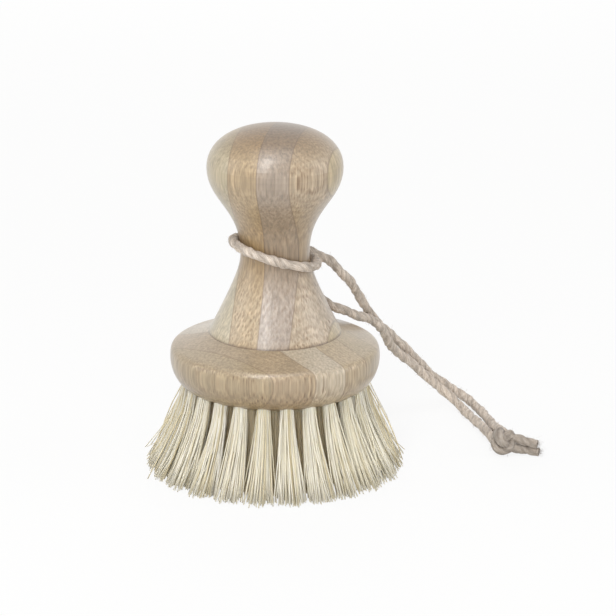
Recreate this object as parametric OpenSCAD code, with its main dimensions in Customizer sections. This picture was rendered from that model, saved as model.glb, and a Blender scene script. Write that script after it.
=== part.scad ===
// Round vegetable brush: turned laminated handle, turned head, plant fibre tufts and a twine hanging loop.
// Millimetres, +Z up. The origin is the middle of the flat plane in which the bristle tips are trimmed.

/* [Head] */
// Width of the head at its widest
head_d = 55; // [53:0.5:58]
// Height from the flat underside up to the widest line
head_lower_h = 8; // [7:0.5:9]
// Height from the widest line up to the seam under the handle
head_upper_h = 6.7; // [6:0.1:8]
// Width of the flat underside
underside_d = 41; // [38:0.5:44]
// Slope of the head's top where it leaves the seam, in degrees
shoulder_slope = 24; // [18:1:28]
// Thickness of the first of the strips that the head is glued up from, at the widest line
head_first_strip = 6.5; // [5.5:0.1:7.5]
// Thickness of the last strip of the head, at the widest line
head_last_strip = 5; // [4:0.1:6]
// Way that the head's strips face, in degrees from +X
head_strip_turn = 48.7; // [0:0.1:90]

/* [Handle] */
// Height of the handle above the seam
handle_h = 55.2; // [50:0.5:70]
// Width of the handle's foot, at the seam
foot_d = 34.8; // [33:0.2:38]
// Width of the neck at its narrowest
neck_d = 18; // [16:0.5:21]
// Height of the narrowest place above the seam
neck_h = 21.5; // [20:0.5:24]
// Width of the knob at its widest
knob_d = 35.4; // [34:0.2:42]
// Height of the knob's widest line above the seam
knob_h = 44.3; // [42:0.1:46]
// Slope of the foot's side at the seam, in degrees from upright
foot_slope = 27; // [20:1:32]
// Thickness of the first of the strips that the handle is glued up from, at the knob's widest line
handle_first_strip = 9.1; // [8:0.1:10]
// Thickness of the last strip of the handle, at the knob's widest line
handle_last_strip = 2; // [1.6:0.1:3]
// Way that the handle's strips face, in degrees from +X
handle_strip_turn = -14; // [-45:1:45]

/* [Glued joint] */
// Width of the dowel between handle and head
dowel_d = 10; // [8:0.5:11]
// Depth of the dowel's bore in the handle
dowel_up = 12; // [8:0.5:14]
// Wood left between the dowel's bore in the head and the holes of the tufts
dowel_web = 1.2; // [0.8:0.1:2]
// Glue gap round the dowel and at its ends
dowel_gap = 0.1; // [0.05:0.05:0.2]

/* [Bristles] */
// Free length of the bristles below the flat underside
bristle_len = 22; // [18:1:28]
// Thickness of the slice of the head that carries the bristles
plate_t = 3.2; // [2.8:0.1:3.6]
// Width of the drilled holes for the tufts
hole_d = 3.8; // [3.6:0.1:4.2]
// Depth of the drilled holes, from the flat underside
hole_depth = 7.5; // [7:0.1:8]
// Gap between a tuft's folded root and its hole
root_gap = 0.1; // [0.05:0.05:0.15]
// Distance from one ring of tufts to the next
ring_step = 5.65; // [5.4:0.05:5.8]
// Flare of the tufts: how much wider their tips stand than their roots
flare = 1.38; // [1.3:0.01:1.5]
// Half width of a tuft at its tips
tuft_spread = 2.4; // [2:0.1:2.6]
// Distance from a tuft's middle strand to the six round it, in the head
strand_pitch = 1.22; // [1.18:0.02:1.3]
// Half width of a strand where it leaves the head
strand_r = 0.6; // [0.5:0.05:0.62]
// Half width of a strand at its tip
tip_r = 0.45; // [0.35:0.05:0.5]

/* [Tuft anchors] */
// Thickness of the flat wire
wire_t = 0.4; // [0.3:0.05:0.5]
// Width of the flat wire, along the hole
wire_w = 1.4; // [1:0.1:1.8]
// Length of each cut piece of wire
wire_len = 3.3; // [3:0.1:3.4]
// Gap between the wire and the fold of the fibres
wire_gap = 0.05; // [0.05:0.05:0.1]

/* [Twine] */
// Thickness of the twine
cord_d = 2.1; // [1.6:0.1:2.2]
// Room between the twine and the narrowest part of the neck
loop_gap = 0.55; // [0.45:0.05:0.8]
// Height of the middle of the neck loop above the seam
loop_h = 21.4; // [21:0.1:22]
// Rise and fall of the slanting neck loop from its middle
loop_rise_h = 3.2; // [2.5:0.1:3.5]
// Way in which the neck loop stands highest, in degrees from +X
loop_high = 190; // [180:1:200]
// Extra room in the neck loop where it stands highest and lowest
loop_side_gap = 0.3; // [0.3:0.05:0.6]
// Distance from the middle of the end knot to the middle of its turns
knot_turn_r = 2.45; // [2.3:0.05:2.6]

/* [Hidden] */
// How finely round shapes are drawn
$fn = 96;
// A length that reaches past the whole brush
far = 200;
underside_z = bristle_len;
widest_z = underside_z + head_lower_h;
seam_z = widest_z + head_upper_h;
plate_z = underside_z + plate_t;
hole_z = underside_z + hole_depth;
dowel_low_z = hole_z + dowel_web;
dowel_high_z = seam_z + dowel_up;

// Handles of the curves, each the length of the straight line that a curve starts along
curve_steps = 16;
knob_crown = 8.6;
knob_side = 7.8;
knob_under = 8.3;
neck_over = 12;
neck_under = 3;
foot_side = 18;
shoulder_top = 10;
shoulder_side = 4.8;
belly_side = 2.5;
belly_bottom = 5.6;

// Strips of each turned block. Those between the first and the last are all of one thickness.
handle_strip_count = 5;
head_strip_count = 7;

// Tufts in each ring, from the outside in
ring_tufts = [24, 18, 12, 6, 1];
ring_names = ["bristles_outer_ring", "bristles_second_ring", "bristles_third_ring",
              "bristles_inner_ring", "bristles_middle_tuft"];
ring_count = len(ring_tufts);
// Height to which the strands reach into the slice that carries them
strand_hold = 2.4;
strand_root_z = underside_z + strand_hold;
// Share of its sideways way that a strand has gone halfway down
bow = 0.42;
strands_round = 6;
// Height by which a tuft's folded root reaches down into the slice
root_hold = 0.8;
// Unevenness of the tips, sideways
stray = 0.3;

cord_r = cord_d / 2;
cord_sides = 8;
loop_r = neck_d / 2 + loop_gap + cord_r;
// The neck loop runs from behind on the left, round the front, to behind on the right
loop_from = 130;
loop_to = 406;
loop_steps = 16;

// The twine's route, from the end knot up to the neck, round it and back to the end knot.
upper_route = [
    [61.5, 8.5, 5], [60.5, 13, 4.5], [60, 18.5, 3], [59.5, 25.5, 1.5], [58, 33, 1.5], [56, 40.5, 1.5],
    [53.5, 45, 2.5], [50.5, 47, 4], [47.5, 47, 6], [44.5, 45.5, 8.5], [41, 43.5, 12.5], [38, 41, 16.5],
    [35, 38, 20.5], [32, 35.5, 24], [29, 32.5, 27.5], [26, 29, 32], [24, 26, 36], [22, 23.5, 40],
    [20, 21, 44], [17.5, 19, 47], [15, 17, 50.5], [12, 15.5, 52.5], [9, 14, 54.5]];
// Behind the neck the upper strand passes inside a turn of the lower one.
hitch_in = [[4.5, 14, 57], [0, 14, 59], [-4.5, 12, 59.5]];
hitch_out = [[4.5, 10, 55.5], [2, 10.8, 56.5], [0.5, 11.2, 59], [0, 12, 61.5],
             [0.5, 14.5, 62], [1.5, 16.5, 60.5], [3, 17, 58], [5, 16.5, 54.5]];
lower_route = [
    [7, 16, 51], [8.5, 15, 47], [10.5, 14.5, 43.5], [12.5, 14.5, 41], [15, 14.5, 39], [18.5, 17, 37],
    [22, 20, 34.5], [25.5, 23.5, 32.5], [28.5, 27.5, 29], [30, 30, 26], [31.5, 32, 22.5], [33, 34.5, 20],
    [37, 37, 16], [41.5, 40, 11], [45.5, 41.5, 7], [49, 41.5, 4], [51.5, 39.5, 2], [53.5, 34, 1.5],
    [55, 29, 1.5], [56.5, 22.5, 2], [57.5, 17, 2.5], [58.5, 12, 2.5], [59.2, 8.5, 3]];
tail_upper_route = [[63.5, 6, 4.5], [67, 5, 4], [71, 3.5, 3.5]];
tail_lower_route = [[63.5, 5.5, 2.2], [67, 5.5, 1.5], [71.5, 4, 1.2]];
knot_at = [61, 6, 3.8];
knot_turn_count = 3;
knot_first_lean = 35;
knot_way = 30;
knot_core_r = 2.3;

// Points of a curve from a to d that leaves along a-b and arrives along c-d
function curve(a, b, c, d) = [for (i = [0:curve_steps]) let (t = i / curve_steps, s = 1 - t)
    s * s * s * a + 3 * s * s * t * b + 3 * s * t * t * c + t * t * t * d];
// The same without its first point, to join on behind another curve
function curve_on(a, b, c, d) = let (p = curve(a, b, c, d)) [for (i = [1:curve_steps]) p[i]];

// Half outline of the handle, from the top of the knob down to the seam
function handle_outline() = let (
        top = [0, seam_z + handle_h],
        side = [knob_d / 2, seam_z + knob_h],
        waist = [neck_d / 2, seam_z + neck_h],
        foot = [foot_d / 2, seam_z])
    concat(
        curve(top, top + [knob_crown, 0], side + [0, knob_side], side),
        curve_on(side, side - [0, knob_under], waist + [0, neck_over], waist),
        curve_on(waist, waist - [0, neck_under],
                 foot + foot_side * [-sin(foot_slope), cos(foot_slope)], foot),
        [[0, seam_z]]);

// Half outline of the head, from the middle of its top down to the middle of its underside
function head_outline() = let (
        seam = [foot_d / 2, seam_z],
        rim = [head_d / 2, widest_z],
        edge = [underside_d / 2, underside_z])
    concat(
        [[0, seam_z]],
        curve(seam, seam + shoulder_top * [cos(shoulder_slope), -sin(shoulder_slope)],
              rim + [0, shoulder_side], rim),
        curve_on(rim, rim - [0, belly_side], edge + [belly_bottom, 0], edge),
        [[0, underside_z]]);

module turned_handle() rotate_extrude() polygon(handle_outline());

module turned_head() rotate_extrude() polygon(head_outline());

// Bore for the dowel, in handle and head alike
module dowel_bore() translate([0, 0, dowel_low_z]) cylinder(d = dowel_d, h = dowel_high_z - dowel_low_z);

// The upright slab that strip i of a glued-up block fills. The first and the last are open outwards.
module slab(i, count, block_w, first_w, last_w, turn) {
    w = (block_w - first_w - last_w) / (count - 2);
    first_line = first_w - block_w / 2;
    from = i == 0 ? -far : first_line + (i - 1) * w;
    to = i == count - 1 ? far : first_line + i * w;
    rotate([0, 0, turn]) translate([from, -far, -far]) cube([to - from, 2 * far, 2 * far]);
}

module handle_strip(i) color(i % 2 == 0 ? "#c9ae86" : "#bfa07c") intersection() {
    difference() {
        turned_handle();
        dowel_bore();
    }
    slab(i, handle_strip_count, knob_d, handle_first_strip, handle_last_strip, handle_strip_turn);
}

module head_strip(i) color(i % 2 == 0 ? "#c3a982" : "#b89d7a") intersection() {
    difference() {
        turned_head();
        translate([0, 0, plate_z - far]) cylinder(d = head_d + far, h = far);
        dowel_bore();
        for (ring = [0:ring_count - 1]) at_tufts(ring) translate([0, 0, underside_z])
            cylinder(d = hole_d, h = hole_depth);
    }
    slab(i, head_strip_count, head_d, head_first_strip, head_last_strip, head_strip_turn);
}

module joint_dowel() color("#d2b98f") translate([0, 0, dowel_low_z + dowel_gap])
    cylinder(d = dowel_d - 2 * dowel_gap, h = dowel_high_z - dowel_low_z - 2 * dowel_gap);

// Distance of a ring of tufts from the axis, where it leaves the head
function ring_r(ring) = (ring_count - 1 - ring) * ring_step;

// Angle of a tuft. Each ring starts half a step from +X, so the second ring shows in the first one's gaps.
function tuft_turn(ring, k) = (k + 0.5) * 360 / ring_tufts[ring];

// Places its children at each tuft of a ring, and passes the tuft's number on to them
module at_tufts(ring) for (k = [0:ring_tufts[ring] - 1]) let ($tuft = k)
    rotate([0, 0, tuft_turn(ring, k)]) translate([ring_r(ring), 0, 0]) children();

// Place of strand j of a tuft: the middle one, and those round it
function strand_place(j, reach) = j == 0 ? [0, 0]
    : reach * [cos(j * 360 / strands_round), sin(j * 360 / strands_round)];

// A three-sided strand from inside the head to the plane of the tips, bowed outwards on its way
module strand(root, tip) {
    places = [root, root + bow * (tip - root), tip];
    heights = [strand_root_z, strand_root_z / 2, 0];
    widths = [strand_r, (strand_r + tip_r) / 2, tip_r];
    points = [for (level = [0:2], side = [0:2])
        [places[level].x + widths[level] * cos(120 * side),
         places[level].y + widths[level] * sin(120 * side), heights[level]]];
    sides = [for (level = [0:1], side = [0:2]) let (
            a = 3 * level + side,
            b = 3 * level + (side + 1) % 3)
        each [[a, b, b + 3], [a, b + 3, a + 3]]];
    polyhedron(points, concat([[2, 1, 0]], sides, [[6, 7, 8]]));
}

module tuft_strands(ring) {
    r = ring_r(ring);
    wobble = rands(-stray, stray, 2 * (strands_round + 1) * ring_tufts[ring], ring + 1);
    at_tufts(ring) for (j = [0:strands_round]) {
        n = 2 * ($tuft * (strands_round + 1) + j);
        strand(strand_place(j, strand_pitch),
               [r * (flare - 1), 0] + strand_place(j, tuft_spread) + [wobble[n], wobble[n + 1]]);
    }
}

// The slice of the head that carries a ring of tufts, between circles midway to the rings beside it
module plate(ring) intersection() {
    turned_head();
    difference() {
        translate([0, 0, underside_z - far]) cylinder(
            r = ring == 0 ? far : ring_r(ring) + ring_step / 2, h = plate_t + far);
        if (ring < ring_count - 1)
            translate([0, 0, -far]) cylinder(r = ring_r(ring) - ring_step / 2, h = 2 * far);
    }
}

// The folded root of a tuft, with the groove of the fold in which the wire lies
module tuft_root() difference() {
    translate([0, 0, plate_z - root_hold])
        cylinder(d = hole_d - 2 * root_gap, h = hole_z - root_gap - plate_z + root_hold);
    translate([0, 0, hole_z - root_gap - wire_w / 2])
        cube([far, wire_t + 2 * wire_gap, wire_w + 2 * wire_gap], center = true);
}

module bristles(ring) color("#e9dfb9") {
    plate(ring);
    at_tufts(ring) tuft_root();
    tuft_strands(ring);
}

module tuft_anchors() color("silver") for (ring = [0:ring_count - 1]) at_tufts(ring)
    translate([0, 0, hole_z - root_gap - wire_w / 2]) cube([wire_len, wire_t, wire_w], center = true);

function unit(v) = v / norm(v);

// Way of a route at point i
function way(route, i) = unit(route[min(i + 1, len(route) - 1)] - route[max(i - 1, 0)]);

// A vector square to the route at each point, carried along it without twist
function side_vectors(route) = [for (
        i = 0, v = unit(cross(way(route, 0), [0, 0, 1]));
        i < len(route);
        i = i + 1,
        v = i < len(route) ? unit(v - (v * way(route, i)) * way(route, i)) : v)
    v];

// One closed tube along a stretch of a route. Stretches that share an end point share its ring.
module tube(route, from, to) {
    sides = side_vectors(route);
    rings = to - from + 1;
    points = [for (i = [from:to], k = [0:cord_sides - 1]) let (
            angle = 360 * k / cord_sides,
            v = sides[i])
        route[i] + cord_r * (cos(angle) * v + sin(angle) * cross(way(route, i), v))];
    walls = [for (i = [0:rings - 2], k = [0:cord_sides - 1]) let (
            a = i * cord_sides + k,
            b = i * cord_sides + (k + 1) % cord_sides)
        each [[a, b + cord_sides, b], [a, a + cord_sides, b + cord_sides]]];
    first = [for (k = [0:cord_sides - 1]) k];
    last = [for (k = [cord_sides - 1:-1:0]) (rings - 1) * cord_sides + k];
    polyhedron(points, concat([first], walls, [last]));
}

function loop_point(angle) = let (rise = cos(angle - loop_high), r = loop_r + loop_side_gap * rise * rise)
    [r * cos(angle), r * sin(angle), seam_z + loop_h + loop_rise_h * rise];

neck_turn = [for (i = [0:loop_steps]) loop_point(loop_from + (loop_to - loop_from) * i / loop_steps)];
whole_route = concat(upper_route, hitch_in, neck_turn, hitch_out, lower_route);
upper_end = len(upper_route) - 1;
lower_start = len(whole_route) - len(lower_route);

module neck_loop() color("#a3917f") tube(whole_route, upper_end, lower_start);

module loop_strand_upper() color("#a3917f") tube(whole_route, 0, upper_end);

module loop_strand_lower() color("#a3917f") tube(whole_route, lower_start, len(whole_route) - 1);

module tail_upper() color("#a3917f") tube(tail_upper_route, 0, len(tail_upper_route) - 1);

module tail_lower() color("#a3917f") tube(tail_lower_route, 0, len(tail_lower_route) - 1);

// The end knot: turns of the doubled twine that lean over a core of it
module end_knot() color("#9a8876") translate(knot_at) {
    sphere(r = knot_core_r);
    for (i = [0:knot_turn_count - 1]) rotate([90, knot_first_lean + i * 180 / knot_turn_count, knot_way])
        rotate_extrude() translate([knot_turn_r, 0]) circle(r = cord_r);
}

for (i = [0:handle_strip_count - 1])
    handle_strip(i);
for (i = [0:head_strip_count - 1])
    head_strip(i);
joint_dowel();
for (ring = [0:ring_count - 1]) bristles(ring);
tuft_anchors();
neck_loop();
loop_strand_upper();
loop_strand_lower();
end_knot();
tail_upper();
tail_lower();
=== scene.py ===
# %% [markdown]
# # A round vegetable brush
# A palm-held brush: a turned bamboo knob and head, drilled and filled with tufts of plant fibre,
# and a loop of jute twine to hang it by. The construction model already fixes every size and place.
# This lesson dresses it: wood grain on the turned pieces, thousands of fine fibres in place of the
# thick strands, and twisted twine in place of the plain tubes.

import math

import bpy
import numpy as np
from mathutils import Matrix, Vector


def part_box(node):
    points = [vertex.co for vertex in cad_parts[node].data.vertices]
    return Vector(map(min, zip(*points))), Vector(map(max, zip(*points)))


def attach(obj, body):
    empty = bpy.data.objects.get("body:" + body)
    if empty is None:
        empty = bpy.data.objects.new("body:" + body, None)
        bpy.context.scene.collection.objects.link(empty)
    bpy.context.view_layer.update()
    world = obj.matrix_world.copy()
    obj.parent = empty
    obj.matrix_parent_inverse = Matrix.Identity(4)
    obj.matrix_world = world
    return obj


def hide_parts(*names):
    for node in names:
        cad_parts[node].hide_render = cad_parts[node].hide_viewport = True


MM = 0.001

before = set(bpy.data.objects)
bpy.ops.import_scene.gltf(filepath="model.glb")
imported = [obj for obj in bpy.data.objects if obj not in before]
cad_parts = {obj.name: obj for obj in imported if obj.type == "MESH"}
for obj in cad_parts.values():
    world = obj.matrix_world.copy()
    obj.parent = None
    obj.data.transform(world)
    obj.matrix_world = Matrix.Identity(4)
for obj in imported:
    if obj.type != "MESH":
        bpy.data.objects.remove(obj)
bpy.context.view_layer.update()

# %% [markdown]
# ## The camera
# The camera comes first, because every later choice is judged through it. The ellipses of the head
# and of the trimmed tips give how steeply the photograph looks down, and how they narrow gives the
# distance. The brush stands left of the picture's middle. The lens is shifted for that, and the camera
# isn't turned, so the brush's axis stays upright in the picture.

# %% Camera
PHOTO_PX = 616
FOCAL_PX = 3000
BRUSH_AXIS_PX = (275, 292.8)
SENSOR_MM = 36
CAMERA_ELEVATION = math.radians(17)
CAMERA_DISTANCE = 783 * MM
CAMERA_TARGET_Z = 47 * MM


def add_camera():
    """A camera in front of the brush, at the photograph's height and distance."""
    data = bpy.data.cameras.new("photo_camera")
    data.sensor_width = SENSOR_MM
    data.lens = FOCAL_PX / PHOTO_PX * SENSOR_MM
    data.shift_x = (PHOTO_PX / 2 - BRUSH_AXIS_PX[0]) / PHOTO_PX
    data.shift_y = (BRUSH_AXIS_PX[1] - PHOTO_PX / 2) / PHOTO_PX
    camera = bpy.data.objects.new("photo_camera", data)
    away = CAMERA_DISTANCE * math.cos(CAMERA_ELEVATION)
    rise = CAMERA_DISTANCE * math.sin(CAMERA_ELEVATION)
    camera.location = (0, -away, CAMERA_TARGET_Z + rise)
    camera.rotation_euler = (math.pi / 2 - CAMERA_ELEVATION, 0, 0)
    bpy.context.scene.collection.objects.link(camera)
    bpy.context.scene.camera = camera
    return camera


print("Lens, mm:", round(add_camera().data.lens, 1))

# %% [markdown]
# ## The twine's route
# One length of twine runs from the end knot up to the neck, once round it, through a hitch behind
# it, and back down to the knot. The points below, in millimetres, are those that the construction
# model sweeps its plain tubes along.

# %% Points of the two strands
TWINE_D = 2.1
UPPER_ROUTE = [
    (61.5, 8.5, 5), (60.5, 13, 4.5), (60, 18.5, 3), (59.5, 25.5, 1.5), (58, 33, 1.5), (56, 40.5, 1.5),
    (53.5, 45, 2.5), (50.5, 47, 4), (47.5, 47, 6), (44.5, 45.5, 8.5), (41, 43.5, 12.5), (38, 41, 16.5),
    (35, 38, 20.5), (32, 35.5, 24), (29, 32.5, 27.5), (26, 29, 32), (24, 26, 36), (22, 23.5, 40),
    (20, 21, 44), (17.5, 19, 47), (15, 17, 50.5), (12, 15.5, 52.5), (9, 14, 54.5),
]
LOWER_ROUTE = [
    (7, 16, 51), (8.5, 15, 47), (10.5, 14.5, 43.5), (12.5, 14.5, 41), (15, 14.5, 39), (18.5, 17, 37),
    (22, 20, 34.5), (25.5, 23.5, 32.5), (28.5, 27.5, 29), (30, 30, 26), (31.5, 32, 22.5), (33, 34.5, 20),
    (37, 37, 16), (41.5, 40, 11), (45.5, 41.5, 7), (49, 41.5, 4), (51.5, 39.5, 2), (53.5, 34, 1.5),
    (55, 29, 1.5), (56.5, 22.5, 2), (57.5, 17, 2.5), (58.5, 12, 2.5), (59.2, 8.5, 3),
]
print("Points, upper and lower strand:", len(UPPER_ROUTE), len(LOWER_ROUTE))

# %% [markdown]
# Round the neck the twine lies in a slanting turn, high on the left and low on the right, and behind
# the neck it goes over and under itself. The turn is an arc whose height swings once on its way round.

# %% Points of the turn round the neck
HITCH_IN = [(4.5, 14, 57), (0, 14, 59), (-4.5, 12, 59.5)]
HITCH_OUT = [
    (4.5, 10, 55.5), (2, 10.8, 56.5), (0.5, 11.2, 59), (0, 12, 61.5),
    (0.5, 14.5, 62), (1.5, 16.5, 60.5), (3, 17, 58), (5, 16.5, 54.5),
]
NECK_D = 18
LOOP_GAP = 0.55
LOOP_SIDE_GAP = 0.3
LOOP_MIDDLE_Z = 58.1
LOOP_RISE = 3.2
LOOP_HIGH = math.radians(190)
LOOP_ARC = (130, 406)
LOOP_STEPS = 16


def neck_turn():
    """The slanting turn round the neck, from behind on the left to behind on the right."""
    points = []
    for angle in np.radians(np.linspace(*LOOP_ARC, LOOP_STEPS + 1)):
        lift = math.cos(angle - LOOP_HIGH)
        reach = (NECK_D + TWINE_D) / 2 + LOOP_GAP + LOOP_SIDE_GAP * lift * lift
        height = LOOP_MIDDLE_Z + LOOP_RISE * lift
        points.append((reach * math.cos(angle), reach * math.sin(angle), height))
    return points


print("Turn round the neck, lowest and highest, mm:", [round(f(p[2] for p in neck_turn()), 1) for f in (min, max)])

# %% [markdown]
# A smooth curve through all the points is cut up into equal steps, so that the twist of the yarn
# comes out even along the whole length.

# %% Smooth route
TWINE_STEP = 0.3


def smooth_path(points, step):
    """Points about one step apart on a smooth curve through the given ones, and where each of those lies."""
    given = np.array(points, float)
    at = np.concatenate([[0], np.cumsum(np.linalg.norm(np.diff(given, axis=0), axis=1))])
    ways = np.gradient(given, at, axis=0)
    made, places = [], []
    for i in range(len(given) - 1):
        span = at[i + 1] - at[i]
        count = max(1, round(span / step))
        t = np.arange(count)[:, None] / count
        places.append(sum(len(part) for part in made))
        made.append(
            (1 + 2 * t) * (1 - t) ** 2 * given[i]
            + t * (1 - t) ** 2 * span * ways[i]
            + t * t * (3 - 2 * t) * given[i + 1]
            - t * t * (1 - t) * span * ways[i + 1]
        )
    places.append(sum(len(part) for part in made))
    made.append(given[-1:])
    return np.concatenate(made), places


def path_length(points):
    """Length of a line of points, in its own unit."""
    return float(np.linalg.norm(np.diff(points, axis=0), axis=1).sum())


route, route_places = smooth_path(UPPER_ROUTE + HITCH_IN + neck_turn() + HITCH_OUT + LOWER_ROUTE, TWINE_STEP)
upper_end = route_places[len(UPPER_ROUTE) - 1]
lower_start = route_places[-len(LOWER_ROUTE)]
print("Twine from knot to knot, mm:", round(path_length(route)))

# %% [markdown]
# ## Building meshes
# Every new piece here is a swept or turned surface, so its vertices follow a rule. Handing whole
# arrays to one small function is quick and keeps a piece at the origin, in metres, like the
# construction model's own pieces.

# %% Mesh helper
def add_mesh(name, vertices, faces, material, body, slot):
    """A smooth piece from vertices in millimetres, riding on a body and taking its finish from the material. The slot
    is not used.
    """
    mesh = bpy.data.meshes.new(name)
    mesh.from_pydata((np.asarray(vertices) * MM).tolist(), [], faces)
    mesh.polygons.foreach_set("use_smooth", [True] * len(mesh.polygons))
    mesh.materials.append(material)
    mesh.update()
    piece = bpy.data.objects.new(name, mesh)
    bpy.context.scene.collection.objects.link(piece)
    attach(piece, body)
    return piece


def add_attribute(piece, name, values):
    """A vector for each vertex that the piece's material can read."""
    layer = piece.data.attributes.new(name, "FLOAT_VECTOR", "POINT")
    layer.data.foreach_set("vector", np.asarray(values, float).ravel())


def dress(prefix, material):
    """Gives the construction model's own pieces of that name a material, and says how many."""
    chosen = [piece for name, piece in sorted(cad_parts.items()) if name.startswith(prefix)]
    for piece in chosen:
        for place in piece.material_slots:
            place.material = material
    return len(chosen)


print("Nodes of the construction model:", len(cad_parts))

# %% [markdown]
# ## Colours and nodes
# Colours are written as they would be picked from a screen, in sRGB hex, and turned to the linear
# values that the renderer works in. One function adds a node, sets its options, fills or links its
# inputs and gives back one of its outputs, which keeps the materials below short enough to read.

# %% Colour and node helpers
def linear(hex_colour):
    """Linear red, green, blue and alpha of an sRGB hex colour such as #c9b18c."""
    parts = [int(hex_colour[i : i + 2], 16) / 255 for i in (1, 3, 5)]
    return [p / 12.92 if p <= 0.04045 else ((p + 0.055) / 1.055) ** 2.4 for p in parts] + [1.0]


def add_node(tree, kind, inputs=None, give=0, **settings):
    """Adds a shader node with its settings, its inputs as values or links, and gives back one output."""
    made = tree.nodes.new(kind)
    for name, value in settings.items():
        setattr(made, name, value)
    for socket, value in (inputs or {}).items():
        if isinstance(value, bpy.types.NodeSocket):
            tree.links.new(value, made.inputs[socket])
        else:
            made.inputs[socket].default_value = value
    return made.outputs[give] if made.outputs else made


def new_material(name):
    """An empty node material, with its tree and its surface shader."""
    material = bpy.data.materials.new(name)
    material.use_nodes = True
    tree = material.node_tree
    tree.nodes.clear()
    surface = add_node(tree, "ShaderNodeBsdfPrincipled")
    add_node(tree, "ShaderNodeOutputMaterial", {"Surface": surface})
    return material, tree, surface.node


def fill_ramp(ramp_output, stops, interpolation="LINEAR"):
    """Sets the stops of a colour ramp, each a position and an sRGB hex colour or a plain value."""
    ramp = ramp_output.node.color_ramp
    ramp.interpolation = interpolation
    while len(ramp.elements) < len(stops):
        ramp.elements.new(1)
    for element, (position, colour) in zip(ramp.elements, stops):
        element.position = position
        element.color = linear(colour) if isinstance(colour, str) else (colour, colour, colour, 1)


print("Middle grey #808080 in linear light:", round(linear("#808080")[0], 3))

# %% [markdown]
# ## Bamboo: the strips
# The turned pieces are laminated bamboo: strips sawn from the wall of the culm, glued face to face
# and turned on a lathe. One material could be made for each strip, but then the grain would have to
# be told twelve times where it lies. Here one material serves a whole turned piece: it works out
# from the place which strip it is in and how far across it, because the glue lines are parallel.

# %% Where a place lies among the strips
def strip_places(tree, turn, first_line, strip_w):
    """Place in millimetres, height, number of the strip, and how far across it from 0 to 1."""
    metres = add_node(tree, "ShaderNodeTexCoord", give="Object")
    place = add_node(tree, "ShaderNodeMapping", {"Vector": metres, "Scale": (1 / MM,) * 3})
    turned = add_node(tree, "ShaderNodeMapping", {"Vector": place, "Rotation": (0, 0, -turn)})
    sideways = add_node(tree, "ShaderNodeSeparateXYZ", {"Vector": turned}, give="X")
    height = add_node(tree, "ShaderNodeSeparateXYZ", {"Vector": turned}, give="Z")
    lines = {"Value": sideways, "From Min": first_line - strip_w, "From Max": first_line}
    row = add_node(tree, "ShaderNodeMapRange", lines, clamp=False)
    number = add_node(tree, "ShaderNodeMath", {0: row}, operation="FLOOR")
    across = add_node(tree, "ShaderNodeMath", {0: row}, operation="FRACT")
    return place, height, number, across


# %% [markdown]
# ## Bamboo: vessels and growth layers
# Bamboo has no rings. Its grain is bundles of vessels, about two thirds of a millimetre apart, that
# all run upwards, so they show as fine streaks where the surface is upright and as dots where it
# cuts across them. A pattern in space does this by itself: round cells seen from above, which are
# the same at every height. Between them the wall of the culm has darker and lighter layers, which
# turning cuts into nested ovals. Each strip gets its own shift of the pattern.

# %% Grain within a strip
FIBRE_MM = 0.16
FIBRE_DRAWN = 4  # A fibre is too fine to show, so it is drawn this many times as coarse.
GRAIN_STRETCH = 30
STRIP_SHIFT = (17.3, 41.7, 29.1)
WANDER_MM = (2.2, 2.2, 0)
WANDER_EVERY_MM = 20


def bamboo_grain(tree, place, number):
    """The place within a strip's own grain, and the fine fibres there as a value around one half."""
    shift = add_node(tree, "ShaderNodeVectorMath", {0: STRIP_SHIFT, "Scale": number}, operation="SCALE")
    moved = add_node(tree, "ShaderNodeVectorMath", {0: place, 1: shift}, operation="ADD")
    noise = {"Vector": place, "Scale": 1 / WANDER_EVERY_MM, "Detail": 1.0}
    wander = add_node(tree, "ShaderNodeTexNoise", noise, give="Color")
    grain = add_node(tree, "ShaderNodeVectorMath", {0: wander, 1: WANDER_MM, 2: moved}, operation="MULTIPLY_ADD")
    squeeze = {0: grain, 1: (1, 1, 1 / GRAIN_STRETCH)}
    squeezed = add_node(tree, "ShaderNodeVectorMath", squeeze, operation="MULTIPLY")
    noise = {"Vector": squeezed, "Scale": 1 / FIBRE_MM / FIBRE_DRAWN, "Detail": 3.0, "Roughness": 0.6}
    return grain, add_node(tree, "ShaderNodeTexNoise", noise)


print("Fibres drawn, mm wide:", FIBRE_MM * FIBRE_DRAWN)

# %% Vessel bundles
BUNDLE_MM = 0.66
VESSEL_CORE, VESSEL_EDGE = 0.18, 0.42  # Shares of a bundle's width.
WEAKEST_VESSEL = 0.25


def vessel_dots(tree, grain):
    """One where a vessel bundle is cut, with bundles of different strength."""
    cells = {"Vector": grain, "Scale": 1 / BUNDLE_MM, "Randomness": 0.9}
    middle = add_node(tree, "ShaderNodeTexVoronoi", cells, voronoi_dimensions="2D")
    chance = add_node(tree, "ShaderNodeSeparateColor", {"Color": middle.node.outputs["Color"]})
    core = {"Value": middle, "From Min": VESSEL_CORE, "From Max": VESSEL_EDGE, "To Min": 1.0, "To Max": 0.0}
    strength = {"Value": chance, "From Max": 0.8, "To Min": WEAKEST_VESSEL}
    core, strength = (add_node(tree, "ShaderNodeMapRange", limits) for limits in (core, strength))
    return add_node(tree, "ShaderNodeMath", {0: core, 1: strength}, operation="MULTIPLY")


print("Vessel bundles in 10 mm:", round(10 / BUNDLE_MM))

# %% Layers of the culm
LAYER_MM = 1.05
LAYER_ROUGHNESS = 5.0


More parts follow.
